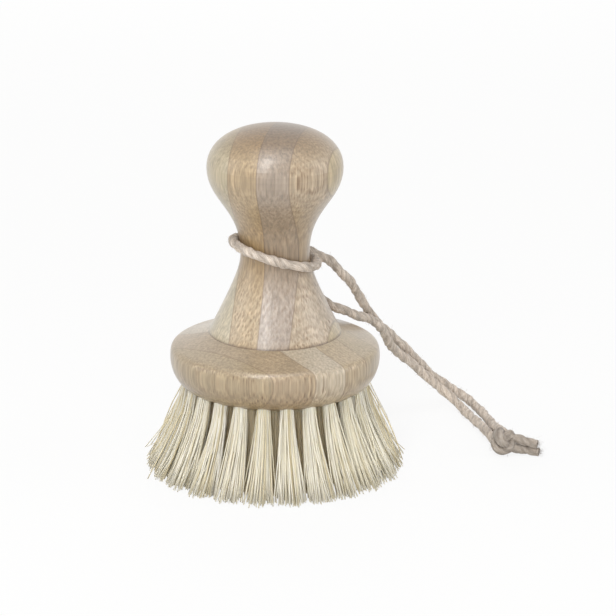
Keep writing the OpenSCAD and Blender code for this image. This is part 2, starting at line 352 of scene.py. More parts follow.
def culm_layers(tree, grain, fibres, layer_turn):
    """One in the darker layers of the culm's wall, which the fibres roughen."""
    way = (math.sin(layer_turn), -math.cos(layer_turn), 0)
    depth = add_node(tree, "ShaderNodeVectorMath", {0: grain, 1: way}, give="Value", operation="DOT_PRODUCT")
    rough = add_node(tree, "ShaderNodeMath", {0: fibres, 1: LAYER_ROUGHNESS}, operation="MULTIPLY")
    turns = {0: depth, 1: 2 * math.pi / LAYER_MM, 2: rough}
    phase = add_node(tree, "ShaderNodeMath", turns, operation="MULTIPLY_ADD")
    wave = add_node(tree, "ShaderNodeMath", {0: phase}, operation="SINE")
    return add_node(tree, "ShaderNodeMapRange", {"Value": wave, "From Min": -0.2})


print("Layers in 10 mm:", round(10 / LAYER_MM))

# %% [markdown]
# ## Bamboo: colour
# A strip's tone comes from a ramp with hard steps, and how strong its grain is from another. Where the wood is cut
# across, the lacquer soaks in, which darkens it and evens its pattern out; the darkening of faces that look up or down
# is partly painted shade as well. A ramp over the height paints shade: the neck under the knob and the knob's top are
# darker, and so is the seam between handle and head, which is partly a dark glue joint and partly painted shade.

# %% Tones, stains and end grain
END_GRAIN_FROM, END_GRAIN_FULL = 0.5, 0.95  # How far the surface faces up, from 0 to 1.


def across_grain(tree, share):
    """Falls from one to that share where the surface faces up or down, across the grain."""
    facing = add_node(tree, "ShaderNodeTexCoord", give="Normal")
    up = add_node(tree, "ShaderNodeSeparateXYZ", {"Vector": facing}, give="Z")
    up = add_node(tree, "ShaderNodeMath", {0: up}, operation="ABSOLUTE")
    fall = {"Value": up, "From Min": END_GRAIN_FROM, "From Max": END_GRAIN_FULL, "To Min": 1.0, "To Max": share}
    return add_node(tree, "ShaderNodeMapRange", fall)


def strip_tones(tree, number, strips):
    """The tone of the strip with that number, and how strong its grain is."""
    middle = add_node(tree, "ShaderNodeMath", {0: number, 1: 0.5}, operation="ADD")
    part = add_node(tree, "ShaderNodeMath", {0: middle, 1: len(strips)}, operation="DIVIDE")
    tone = add_node(tree, "ShaderNodeValToRGB", {"Fac": part})
    strength = add_node(tree, "ShaderNodeValToRGB", {"Fac": part})
    fill_ramp(tone, [(i / len(strips), colour) for i, (colour, _) in enumerate(strips)], "CONSTANT")
    fill_ramp(strength, [(i / len(strips), grain) for i, (_, grain) in enumerate(strips)], "CONSTANT")
    return tone, strength


def painted_shade_by_height(tree, colour, height, shade_steps):
    """The colour darkened by painted shade that changes with the height, each step a height in millimetres and a tint.
    """
    low, high = shade_steps[0][0], shade_steps[-1][0]
    part = add_node(tree, "ShaderNodeMapRange", {"Value": height, "From Min": low, "From Max": high})
    tint = add_node(tree, "ShaderNodeValToRGB", {"Fac": part})
    fill_ramp(tint, [((z - low) / (high - low), shade) for z, shade in shade_steps])
    return add_node(tree, "ShaderNodeVectorMath", {0: colour, 1: tint}, operation="MULTIPLY")


print("End grain starts this steep, degrees:", round(math.degrees(math.acos(END_GRAIN_FROM))))

# %% [markdown]
# The plain wood comes first, with the fine fibres and a slow mottle as light and dark. Most noise
# stays near the middle of its range, so that middle is stretched.

# %% Plain wood
MOTTLE_MM = 7
END_GRAIN_AND_SHADE_LIGHTNESS = 0.9
NOISE_MIDDLE = {"From Min": 0.3, "From Max": 0.7}


def plain_wood(tree, tone, fibres, mottle):
    """The strip's tone, lighter and darker with the fibres and the mottle."""
    # Faces that look up or down are darker: end grain under the lacquer, and in part painted shade.
    light = across_grain(tree, END_GRAIN_AND_SHADE_LIGHTNESS)
    for noise, low, high in ((fibres, 0.7, 1.28), (mottle, 0.9, 1.08)):
        factor = add_node(tree, "ShaderNodeMapRange", {"Value": noise, **NOISE_MIDDLE, "To Min": low, "To Max": high})
        light = add_node(tree, "ShaderNodeMath", {0: light, 1: factor}, operation="MULTIPLY")
    return add_node(tree, "ShaderNodeVectorMath", {0: tone, "Scale": light}, operation="SCALE")


print("Mottle to fibres, times as wide:", round(MOTTLE_MM / FIBRE_MM / FIBRE_DRAWN))

# %% Dark pattern
VESSEL_DARK = 0.75
LAYER_DARK = 0.42
VESSEL_COLOUR = "#71573c"
END_GRAIN_PATTERN = 0.45
CLOUDS = {"From Min": 0.38, "From Max": 0.62, "To Min": 0.35}


def dark_pattern(tree, colour, vessels, layers, mottle, strength):
    """The colour with vessels and layers on it, in clouds, and fainter across the grain."""
    dark = add_node(tree, "ShaderNodeMath", {0: layers, 1: LAYER_DARK}, operation="MULTIPLY")
    dark = add_node(tree, "ShaderNodeMath", {0: vessels, 1: VESSEL_DARK, 2: dark}, operation="MULTIPLY_ADD")
    clouds = add_node(tree, "ShaderNodeMapRange", {"Value": mottle, **CLOUDS})
    for factor in (clouds, strength, across_grain(tree, END_GRAIN_PATTERN)):
        dark = add_node(tree, "ShaderNodeMath", {0: dark, 1: factor}, operation="MULTIPLY")
    mixed = {"Factor": dark, "A": colour, "B": linear(VESSEL_COLOUR)}
    return add_node(tree, "ShaderNodeMix", mixed, give="Result", data_type="RGBA")


print("Darkest where vessel and layer meet:", VESSEL_DARK + LAYER_DARK)

# %% Glue lines
GLUE_LINE_MM = 0.12
GLUE_LINE_DRAWN = 2  # The glue line is thinner than a pixel, so it is drawn twice as wide.
GLUE_COLOUR = "#5e462f"
GLUE_SHARE = 0.5


def glue_lines(tree, colour, across, strip_w):
    """The colour with a dark line where two strips meet."""
    side = add_node(tree, "ShaderNodeMath", {0: across, 1: 0.5}, operation="SUBTRACT")
    side = add_node(tree, "ShaderNodeMath", {0: side}, operation="ABSOLUTE")
    start = 0.5 - GLUE_LINE_MM * GLUE_LINE_DRAWN / strip_w
    limits = {"Value": side, "From Min": start, "From Max": 0.5, "To Max": GLUE_SHARE}
    line = add_node(tree, "ShaderNodeMapRange", limits)
    mixed = {"Factor": line, "A": colour, "B": linear(GLUE_COLOUR)}
    return add_node(tree, "ShaderNodeMix", mixed, give="Result", data_type="RGBA")


print("Glue line drawn, mm:", GLUE_LINE_MM * GLUE_LINE_DRAWN)

# %% [markdown]
# ## Bamboo: the lacquered material
# A thin satin lacquer lies over the wood: a clear coat, fairly smooth, above wood that is itself
# rough. The fibres lift the surface a little and make the shine uneven.

# %% Bamboo material
COAT_ROUGHNESS = 0.29
GRAIN_LIFT_MM = 0.05


def bamboo(name, turn, first_line, strip_w, layer_turn, strips, shade_steps):
    """Lacquered laminated bamboo, with a tone and a grain strength for each strip, and painted shade by height."""
    material, tree, shader = new_material(name)
    place, height, number, across = strip_places(tree, turn, first_line, strip_w)
    grain, fibres = bamboo_grain(tree, place, number)
    tone, strength = strip_tones(tree, number, strips)
    vessels, layers = vessel_dots(tree, grain), culm_layers(tree, grain, fibres, layer_turn)
    mottle = add_node(tree, "ShaderNodeTexNoise", {"Vector": grain, "Scale": 1 / MOTTLE_MM, "Detail": 2.0})
    colour = plain_wood(tree, tone, fibres, mottle)
    colour = dark_pattern(tree, colour, vessels, layers, mottle, strength)
    colour = painted_shade_by_height(tree, glue_lines(tree, colour, across, strip_w), height, shade_steps)
    raised = {"Height": fibres, "Strength": 0.15, "Distance": GRAIN_LIFT_MM * MM}
    limits = {"Value": fibres, **NOISE_MIDDLE, "To Min": 0.55, "To Max": 0.45}
    tree.links.new(colour, shader.inputs["Base Color"])
    tree.links.new(add_node(tree, "ShaderNodeMapRange", limits), shader.inputs["Roughness"])
    tree.links.new(add_node(tree, "ShaderNodeBump", raised), shader.inputs["Normal"])
    shader.inputs["IOR"].default_value = 1.5
    shader.inputs["Coat Weight"].default_value = 1.0
    shader.inputs["Coat Roughness"].default_value = COAT_ROUGHNESS
    print(name, "has", len(tree.nodes), "nodes")
    return material


print("Coat roughness:", COAT_ROUGHNESS)

# %% [markdown]
# ## Dress the handle and the head
# Each strip has its own tone, matched to the photograph with the shine left out. The head's strips
# lie in another direction than the handle's, because the two were turned from separate blanks.

# %% Handle
HANDLE_TURN = math.radians(-14)
HANDLE_LINE = -8.6
HANDLE_STRIP_W = 8.1
HANDLE_LAYERS = math.radians(33)
HANDLE_STRIPS = [("#b7ac94", 0.25), ("#b3a084", 0.7), ("#a19488", 0.45), ("#b3a38e", 0.85), ("#b7a88a", 0.4)]
SEAM_Z, HANDLE_TOP_Z = (corner[2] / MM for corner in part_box("handle_strip_3"))
# Painted shade by height: the seam, partly a dark glue joint, the neck under the knob and the knob's top are darker.
HANDLE_SHADE_STEPS = [
    (SEAM_Z, "#8f7c62"), (SEAM_Z + 0.6, "#f4f0e8"), (SEAM_Z + 2, "#ffffff"), (47, "#ffffff"), (57, "#e5d9c3"),
    (67, "#e2d6bf"), (78, "#f6f2ea"), (HANDLE_TOP_Z - 6, "#f1ece2"), (HANDLE_TOP_Z - 2, "#c9b99f"),
    (HANDLE_TOP_Z, "#b09d7f"),
]
handle_bamboo = bamboo(
    "lacquered_bamboo_handle", HANDLE_TURN, HANDLE_LINE, HANDLE_STRIP_W, HANDLE_LAYERS, HANDLE_STRIPS, HANDLE_SHADE_STEPS
)
print("Handle pieces:", dress("handle_strip", handle_bamboo), "from", round(SEAM_Z, 1), "to", round(HANDLE_TOP_Z, 1))

# %% Head
UNDERSIDE_Z = 22.0
HEAD_TURN = math.radians(48.7)
HEAD_LINE = -21.0
HEAD_STRIP_W = 8.7
HEAD_LAYERS = math.radians(-31)
HEAD_STRIPS = [
    ("#a49275", 0.95), ("#a59277", 0.95), ("#b6a892", 0.75), ("#ab997c", 0.95), ("#a59477", 0.75), ("#ab9a80", 0.6),
    ("#a8957a", 0.75),
]
# Painted shade by height: the head is darker towards its underside, under its rim.
HEAD_SHADE_STEPS = [(UNDERSIDE_Z, "#d8cab2"), (25.5, "#ece5d8"), (29.5, "#ffffff"), (40, "#ffffff")]
head_bamboo = bamboo("lacquered_bamboo_head", HEAD_TURN, HEAD_LINE, HEAD_STRIP_W, HEAD_LAYERS, HEAD_STRIPS, HEAD_SHADE_STEPS)
print("Head pieces:", dress("head_strip", head_bamboo))

# %% [markdown]
# ## The dowel and the wire anchors
# Neither shows once the brush is glued and filled, but both are real pieces. The dowel is plain
# beech, cut across its pores at the ends. The anchors are flat steel wire, cut to length and driven
# across the fold of each tuft, bright from the drawing die.

# %% Beech dowel
FLECK_MM = (0.5, 0.5, 5)


def beech():
    """Unfinished beech dowel: pale, with short dark flecks along the grain."""
    material, tree, shader = new_material("plain_beech_dowel")
    place = add_node(tree, "ShaderNodeTexCoord", give="Object")
    grain = add_node(tree, "ShaderNodeMapping", {"Vector": place, "Scale": [1 / size / MM for size in FLECK_MM]})
    flecks = add_node(tree, "ShaderNodeTexNoise", {"Vector": grain, "Scale": 1.0, "Detail": 4.0})
    ramp = add_node(tree, "ShaderNodeValToRGB", {"Fac": flecks})
    fill_ramp(ramp, [(0.35, "#b98f63"), (0.5, "#d3b287"), (0.75, "#dfc49c")])
    tree.links.new(ramp, shader.inputs["Base Color"])
    shader.inputs["Roughness"].default_value = 0.7
    return material


print("Dowel pieces:", dress("joint_dowel", beech()))

# %% Drawn steel wire
DIE_MARKS_A_MM = 6


def drawn_steel():
    """Drawn steel wire: a bright metal, whose shine is uneven from the fine marks of the die."""
    material, tree, shader = new_material("drawn_steel_wire")
    place = add_node(tree, "ShaderNodeTexCoord", give="Object")
    marks = add_node(tree, "ShaderNodeTexNoise", {"Vector": place, "Scale": DIE_MARKS_A_MM / MM, "Detail": 2.0})
    rough = add_node(tree, "ShaderNodeMapRange", {"Value": marks, "To Min": 0.25, "To Max": 0.45})
    tree.links.new(rough, shader.inputs["Roughness"])
    shader.inputs["Base Color"].default_value = linear("#b9babd")
    shader.inputs["Metallic"].default_value = 1.0
    return material


print("Anchor pieces:", dress("tuft_anchors", drawn_steel()))

# %% [markdown]
# ## The underside of the head
# In the construction model the thick strands are fused to a slice of the head, so hiding them hides
# that slice too. It is turned again here from the same outline, with the drilled holes cut out of
# it, and takes the head's own bamboo, so that the grain carries on across the cut.

# %% Outline of the underside slice
PLATE_TOP_Z = 25.2
UNDERSIDE_R = 20.5
WIDEST_R = 27.5
WIDEST_Z = 30.0
BELLY_SIDE = 2.5
BELLY_BOTTOM = 5.6
CURVE_STEPS = 16


def belly_outline():
    """Outline of the slice, radius and height, from the middle of its underside to the middle of its top."""
    start = np.array([UNDERSIDE_R, UNDERSIDE_Z])
    end = np.array([WIDEST_R, WIDEST_Z])
    t = np.linspace(0, 1, CURVE_STEPS + 1)[:, None]
    curve = (
        (1 - t) ** 3 * start
        + 3 * (1 - t) ** 2 * t * (start + [BELLY_BOTTOM, 0])
        + 3 * (1 - t) * t * t * (end - [0, BELLY_SIDE])
        + t**3 * end
    )
    below = curve[curve[:, 1] < PLATE_TOP_Z]
    above = curve[len(below)]
    share = (PLATE_TOP_Z - below[-1][1]) / (above[1] - below[-1][1])
    top = below[-1] + share * (above - below[-1])
    return [(0, UNDERSIDE_Z), *map(tuple, below), tuple(top), (0, PLATE_TOP_Z)]


print("Widest radius of the slice, mm:", round(max(r for r, _ in belly_outline()), 2))

# %% Turn the slice
ROUND_STEPS = 288


def turned_mesh(outline, sides):
    """Vertices and faces of an outline turned about Z. The outline starts and ends on the axis."""
    rings = outline[1:-1]
    angles = np.linspace(0, 2 * math.pi, sides, endpoint=False)
    vertices = [(r * math.cos(a), r * math.sin(a), z) for r, z in rings for a in angles]
    faces = [
        (i * sides + k, i * sides + (k + 1) % sides, (i + 1) * sides + (k + 1) % sides, (i + 1) * sides + k)
        for i in range(len(rings) - 1)
        for k in range(sides)
    ]
    vertices += [(0, 0, outline[0][1]), (0, 0, outline[-1][1])]
    low, high = len(vertices) - 2, len(vertices) - 1
    last = (len(rings) - 1) * sides
    faces += [(low, (k + 1) % sides, k) for k in range(sides)]
    faces += [(high, last + k, last + (k + 1) % sides) for k in range(sides)]
    return vertices, faces


underside = add_mesh("head_underside", *turned_mesh(belly_outline(), ROUND_STEPS), head_bamboo, "brush", "head")
print("Faces before drilling:", len(underside.data.polygons))

# %% [markdown]
# A thin round thing that runs along a line, such as a fibre, a hair or a drill, is the same few
# rings of vertices each time. One function makes any number of them at once as one mesh.

# %% Rods along lines
def rods(lines, root_r, tip_r, sides):
    """Vertices and faces of thin tapered rods along the lines, closed at both ends."""
    count, stations, _ = lines.shape
    radii = np.linspace(root_r, tip_r, stations)[None, :, None, None]
    turn = np.linspace(0, 2 * math.pi, sides, endpoint=False)
    ring = np.stack([np.cos(turn), np.sin(turn), np.zeros(sides)], -1)
    vertices = (lines[:, :, None] + radii * ring[None, None]).reshape(-1, 3)
    first = (np.arange(count) * stations * sides)[:, None, None]
    level = (np.arange(stations - 1) * sides)[None, :, None]
    k = np.arange(sides)[None, None]
    after = (k + 1) % sides
    base = first + level
    walls = np.stack([base + k, base + sides + k, base + sides + after, base + after], -1).reshape(-1, 4)
    top = first[:, 0] + np.arange(sides)[None]
    bottom = first[:, 0] + (stations - 1) * sides + np.arange(sides)[::-1][None]
    return vertices, walls.tolist() + top.tolist() + bottom.tolist()


print("Vertices of one fibre with 6 rings of 4:", len(rods(np.zeros((1, 6, 3)), 1, 1, 4)[0]))

# %% [markdown]
# The holes stand in rings, each ring half a step round from +X. One mesh of round drills is taken
# away from the slice with a boolean, which leaves clean edges that a bump could only pretend.

# %% Places of the tufts
RING_TUFTS = [24, 18, 12, 6, 1]
RING_STEP = 5.65


def tuft_places():
    """For each ring of tufts from the outside in, the angle and the radius of each tuft."""
    rings = []
    for ring, count in enumerate(RING_TUFTS):
        radius = (len(RING_TUFTS) - 1 - ring) * RING_STEP
        rings.append([(2 * math.pi * (k + 0.5) / count, radius) for k in range(count)])
    return rings


print("Tufts:", sum(len(ring) for ring in tuft_places()))

# %% Drill the holes
HOLE_D = 3.8
HOLE_SIDES = 28
DRILL_PAST = 1
SHARP_ANGLE = math.radians(35)


def drills():
    """One mesh of round drills, one through each hole."""
    places = [(r * math.cos(a), r * math.sin(a)) for ring in tuft_places() for a, r in ring]
    ends = (PLATE_TOP_Z + DRILL_PAST, UNDERSIDE_Z - DRILL_PAST)
    lines = np.array([[(*place, z) for z in ends] for place in places])
    vertices, faces = rods(lines, HOLE_D / 2, HOLE_D / 2, HOLE_SIDES)
    mesh = bpy.data.meshes.new("drills")
    mesh.from_pydata((vertices * MM).tolist(), [], faces)
    cutter = bpy.data.objects.new("drills", mesh)
    bpy.context.scene.collection.objects.link(cutter)
    return cutter


def drill(piece, cutter):
    """Cuts the cutter out of the piece for good, and keeps the edges crisp."""
    cut = piece.modifiers.new("drill", "BOOLEAN")
    cut.operation = "DIFFERENCE"
    cut.solver = "EXACT"
    cut.object = cutter
    evaluated = piece.evaluated_get(bpy.context.evaluated_depsgraph_get())
    mesh = bpy.data.meshes.new_from_object(evaluated)
    piece.modifiers.clear()
    piece.data = mesh
    piece.data.set_sharp_from_angle(angle=SHARP_ANGLE)
    bpy.data.objects.remove(cutter)


drill(underside, drills())
print("Faces of the drilled underside:", len(underside.data.polygons))

# %% [markdown]
# ## The tufts: agave fibre
# The fibres are bleached agave leaf, called tampico in the trade. They are cream, waxy, and let some light through.
# Each has its own tone, which the mesh carries as a number, and those of the inner rings are tinted yellower and
# darker, a painted shade for the light that reaches them only by way of others. A little sheen stands for the down of
# split ends that is finer than the mesh.

# %% Fibre material
INNER_SHADE_TINT = (1.0, 0.92, 0.76)
THROUGH_SHARE = 0.3
BLOTCHES_A_MM = 0.35


def tampico():
    """Bleached agave fibre: cream, lets some light through, each fibre of its own tone."""
    material, tree, shader = new_material("bleached_agave_fibre")
    look = add_node(tree, "ShaderNodeAttribute", give="Vector", attribute_name="fibre")
    chance = add_node(tree, "ShaderNodeSeparateXYZ", {"Vector": look}, give="X")
    inside = add_node(tree, "ShaderNodeSeparateXYZ", {"Vector": look}, give="Y")
    tone = add_node(tree, "ShaderNodeValToRGB", {"Fac": chance})
    fill_ramp(tone, [(0.0, "#cbba8c"), (0.22, "#eadfbe"), (0.5, "#fcf7e5"), (1.0, "#fffdf6")])
    # Painted shade: the fibres of the inner rings are tinted yellower and darker.
    warm = add_node(tree, "ShaderNodeVectorMath", {0: tone, 1: INNER_SHADE_TINT}, operation="MULTIPLY")
    mixed = {"Factor": inside, "A": tone, "B": warm}
    tone = add_node(tree, "ShaderNodeMix", mixed, give="Result", data_type="RGBA")
    place = add_node(tree, "ShaderNodeTexCoord", give="Object")
    blotch = add_node(tree, "ShaderNodeTexNoise", {"Vector": place, "Scale": BLOTCHES_A_MM / MM, "Detail": 2.0})
    limits = {"Value": blotch, **NOISE_MIDDLE, "To Min": 0.93, "To Max": 1.0}
    shade = add_node(tree, "ShaderNodeMapRange", limits)
    colour = add_node(tree, "ShaderNodeVectorMath", {0: tone, "Scale": shade}, operation="SCALE")
    tree.links.new(colour, shader.inputs["Base Color"])
    shader.inputs["Roughness"].default_value = 0.45
    shader.inputs["IOR"].default_value = 1.5
    shader.inputs["Sheen Weight"].default_value = 1.0
    shader.inputs["Sheen Roughness"].default_value = 0.4
    shader.inputs["Sheen Tint"].default_value = linear("#fff3d6")
    through = add_node(tree, "ShaderNodeBsdfTranslucent", {"Color": colour})
    both = add_node(tree, "ShaderNodeMixShader", {0: THROUGH_SHARE, 1: shader.outputs[0], 2: through})
    tree.links.new(both, tree.nodes["Material Output"].inputs["Surface"])
    return material


fibre_material = tampico()
print("Fibre nodes:", len(fibre_material.node_tree.nodes))

# %% [markdown]
# ## The tufts: fibres
# Each hole holds a bundle of about a hundred fibres, folded in half and pulled in tight. They leave
# the wood as one round column and open out on the way down, because the fold presses them apart.
# The maker trims the whole brush flat, so the tips share about one plane. Hair particles could do
# this, but meshes can be exported, so every fibre is a thin tapered rod with four sides, placed by
# a rule with a little seeded chance. Real ones are 0.2 to 0.3 mm thick, about a pixel, and would blur
# into one tone, so they are drawn 0.37 mm thick at the root and 0.29 mm at the tip.

# %% Centre lines of a tuft
FIBRE_TOP_Z = 27.5
FIBRE_EXIT_Z = 23.5
FIBRE_STATIONS = 6
TUFT_R = 1.66
FLARE = 1.38
TIP_SPREAD_OUT = 2.7
TIP_SPREAD_SIDE = 3.75
TIP_SCATTER = 0.65
TIP_LIFT = 0.6
OPENING_CURVE = 1.45
BEND = 0.22
STRAY_SHARE = 0.06
STRAY_TIP_SCATTER = 1.2
STRAY_BEND = 0.9
STRAY_LIFT = 1.8


def fibre_lines(rng, angle, radius, count):
    """Centre lines of a tuft's fibres: count x stations x 3, from inside the hole to the tips."""
    reach = np.sqrt((np.arange(count) + 0.5) / count)
    turn = np.arange(count) * math.pi * (3 - math.sqrt(5)) + rng.uniform(0, 2 * math.pi)
    out, side = reach * np.cos(turn), reach * np.sin(turn)
    root = np.stack([radius + TUFT_R * out, TUFT_R * side], -1)
    tip = np.stack([radius * FLARE + TIP_SPREAD_OUT * out, TIP_SPREAD_SIDE * side], -1)
    tip += rng.normal(0, TIP_SCATTER, tip.shape)
    bend = rng.normal(0, BEND, tip.shape)
    stray = rng.random(count) < STRAY_SHARE
    tip[stray] += rng.normal(0, STRAY_TIP_SCATTER, (stray.sum(), 2))
    bend[stray] += rng.normal(0, STRAY_BEND, (stray.sum(), 2))
    tip_z = np.abs(rng.normal(0, TIP_LIFT, count)) + np.where(stray, rng.uniform(0, STRAY_LIFT, count), 0)
    low = np.linspace(0, 1, FIBRE_STATIONS - 1)
    lines = np.zeros((count, FIBRE_STATIONS, 3))
    lines[:, 0, :2] = root
    lines[:, 0, 2] = FIBRE_TOP_Z
    flat = root[:, None] + (tip - root)[:, None] * (low**OPENING_CURVE)[None, :, None]
    lines[:, 1:, :2] = flat + bend[:, None] * np.sin(math.pi * low)[None, :, None]
    lines[:, 1:, 2] = FIBRE_EXIT_Z + (tip_z[:, None] - FIBRE_EXIT_Z) * low[None]
    cos, sin = math.cos(angle), math.sin(angle)
    x, y = lines[..., 0].copy(), lines[..., 1].copy()
    lines[..., 0] = cos * x - sin * y
    lines[..., 1] = sin * x + cos * y
    return lines


print("Tip circle of the outer ring, mm:", round(tuft_places()[0][0][1] * FLARE, 1))

# %% [markdown]
# A few fibres at the sides have sprung out of line and bow away from their tuft. These are placed
# one by one, each through the point where it bows most.

# %% Bowed strays
BOWED = [
    ((23.6, -3.3), (29.3, -4.6, 11.5), (32.6, -5.5, 0.8)),
    ((23.7, -2.4), (29.9, -3.6, 12.5), (33.6, -4.6, 2.4)),
    ((23.2, 3.2), (28.6, 2.0, 10.0), (34.4, 0.5, 3.4)),
    ((-23.5, -3.3), (-28.2, -4.0, 10.5), (-33.8, -4.8, 2.6)),
    ((-22.6, 3.6), (-28.2, 2.0, 9.0), (-34.0, 1.0, 4.0)),
]


def bowed_line(root, middle, tip):
    """Centre line of one fibre from inside its hole, through the middle point, to the tip."""
    t = np.linspace(0, 1, FIBRE_STATIONS - 1)[:, None]
    start = np.array([*root, FIBRE_EXIT_Z])
    pull = 2 * np.array(middle) - (start + np.array(tip)) / 2
    curve = (1 - t) ** 2 * start + 2 * t * (1 - t) * pull + t * t * np.array(tip)
    return np.concatenate([[[*root, FIBRE_TOP_Z]], curve])


bowed = np.stack([bowed_line(*points) for points in BOWED])
print("Bowed strays reach out, mm:", round(float(np.abs(bowed[..., 0]).max()), 1))

# %% Fibres of every ring
FIBRES_A_TUFT = [115, 100, 90, 90, 90]
FIBRE_ROOT_R = 0.185
FIBRE_TIP_R = 0.145
FIBRE_SIDES = 4
FIBRE_SEED = 100
TONE_SPREAD = (3, 2)  # More light fibres than dark ones.
BOWED_TONE = 0.2
RING_NODES = [
    "bristles_outer_ring",
    "bristles_second_ring",
    "bristles_third_ring",
    "bristles_inner_ring",
    "bristles_middle_tuft",
]


for ring, (node, tufts) in enumerate(zip(RING_NODES, tuft_places())):
    rng = np.random.default_rng(FIBRE_SEED + ring)
    lines = np.concatenate([fibre_lines(rng, angle, radius, FIBRES_A_TUFT[ring]) for angle, radius in tufts])
    tone = rng.beta(*TONE_SPREAD, len(lines))
    if ring == 0:
        lines = np.concatenate([lines, bowed])
        tone = np.append(tone, [BOWED_TONE] * len(bowed))
    vertices, faces = rods(lines, FIBRE_ROOT_R, FIBRE_TIP_R, FIBRE_SIDES)
    fibres = add_mesh(node.replace("bristles", "fibres"), vertices, faces, fibre_material, "brush", "fibre")
    tone = np.repeat(tone, FIBRE_STATIONS * FIBRE_SIDES)
    # The second number is one for the inner rings, which take the painted shade.
    add_attribute(fibres, "fibre", np.stack([tone, np.full(len(tone), float(ring > 0)), tone * 0], -1))
    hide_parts(node)
    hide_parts(node)
    print(fibres.name, "fibres:", len(lines))

# %% [markdown]
# ## Jute twine: the material
# The loop is natural jute, which is dull, grey-brown and never even. The mesh tells the material where each point lies
# in its ply, so the fibres are drawn along the ply and not along the twine, and the valleys between plies are painted
# darker, a painted shade for the shadow that gathers there.

# %% Twine material
JUTE_SQUEEZE = (5, 5, 0.45)  # Across the ply twice, and along it for each millimetre.
JUTE_PATCHES_A_MM = 0.35
VALLEY_LIGHT = 0.78


def jute():
    """Natural jute yarn: grey-brown, dull, with fibres that run along each ply."""
    material, tree, shader = new_material("natural_jute_twine")
    grain = add_node(tree, "ShaderNodeAttribute", give="Vector", attribute_name="grain")
    fine = add_node(tree, "ShaderNodeMapping", {"Vector": grain, "Scale": JUTE_SQUEEZE})
    noise = {"Vector": fine, "Scale": 2.0, "Detail": 4.0, "Roughness": 0.65}
    fibres = add_node(tree, "ShaderNodeTexNoise", noise)
    patch = add_node(tree, "ShaderNodeTexNoise", {"Vector": grain, "Scale": JUTE_PATCHES_A_MM, "Detail": 1.0})
    colour = add_node(tree, "ShaderNodeValToRGB", {"Fac": fibres})
    fill_ramp(colour, [(0.3, "#8b7a69"), (0.44, "#b8a99a"), (0.56, "#d6cabd"), (0.7, "#f0e9e0")])
    limits = {"Value": patch, **NOISE_MIDDLE, "To Min": 0.78, "To Max": 1.1}
    uneven = add_node(tree, "ShaderNodeMapRange", limits)
    look = add_node(tree, "ShaderNodeAttribute", give="Vector", attribute_name="ply")
    crest = add_node(tree, "ShaderNodeSeparateXYZ", {"Vector": look}, give="X")
    painted_shade = add_node(tree, "ShaderNodeSeparateXYZ", {"Vector": look}, give="Y")
    # Painted shade: the valleys between plies are darker.
    limits = {"Value": crest, "From Min": -1.0, "From Max": 0.2, "To Min": VALLEY_LIGHT}
    valley = add_node(tree, "ShaderNodeMapRange", limits)
    for shade in (uneven, valley, painted_shade):
        colour = add_node(tree, "ShaderNodeVectorMath", {0: colour, "Scale": shade}, operation="SCALE")
    raised = {"Height": fibres, "Strength": 0.6, "Distance": 0.12 * MM}
    tree.links.new(colour, shader.inputs["Base Color"])
    tree.links.new(add_node(tree, "ShaderNodeBump", raised), shader.inputs["Normal"])
    shader.inputs["Roughness"].default_value = 0.85
    shader.inputs["Sheen Weight"].default_value = 0.15
    return material


jute_material = jute()
print("Twine nodes:", len(jute_material.node_tree.nodes))

# %% [markdown]
# ## Jute twine: the shape
# The twine is three plies of yarn twisted round each other, with the ends of single fibres standing
# off all over. A tube with a bump map looks like hose. Here the section itself has three lobes that
# turn along the length, so the outline is uneven as it is on the real twine.

# %% Frames along a path
def unit(vectors):
    """Vectors of length one."""
    return vectors / np.linalg.norm(vectors, axis=-1, keepdims=True)


def path_frames(points, closed=False):
    """For each point of a path, its way and two directions square to it that don't twist along it."""
    if closed:
        ways = unit(np.roll(points, -1, 0) - np.roll(points, 1, 0))
    else:
        ways = unit(np.gradient(points, axis=0))
    side = np.cross(ways[0], (0, 0, 1.0))
    sides = []
    for way in ways:
        side = side - side.dot(way) * way
        side = side / np.linalg.norm(side)
        sides.append(side)
    sides = np.array(sides)
    return ways, sides, np.cross(ways, sides)


frames = path_frames(route)
print("Frames along the route:", len(frames[0]))

# %% Section of the twine
PLIES = 3
PLY_R = 0.96
PLY_OFF = 0.32


def lobed_radius(angle, scale):
    """Distance from the middle of the twine to its surface, with a lobe for each ply."""
    third = 2 * math.pi / PLIES
    off = (angle + third / 2) % third - third / 2
    return scale * (PLY_OFF * np.cos(off) + np.sqrt(PLY_R**2 - (PLY_OFF * np.sin(off)) ** 2))


print("Across the plies, mm:", round(2 * (PLY_OFF + PLY_R), 2))

# %% Skin of the twine
LAY_MM = 10.5
TWINE_SIDES = 24
TWIST_WAVES = ((0.6, 0.31, 0), (0.45, 0.83, 2))
SWELL_WAVES = ((0.06, 0.7, 0), (0.05, 1.9, 1))


def waves(at, rows):
    """Slow unevenness along the twine: the sum of waves, each with its height, its rate and its start."""
    return sum(height * np.sin(rate * at + start) for height, rate, start in rows)


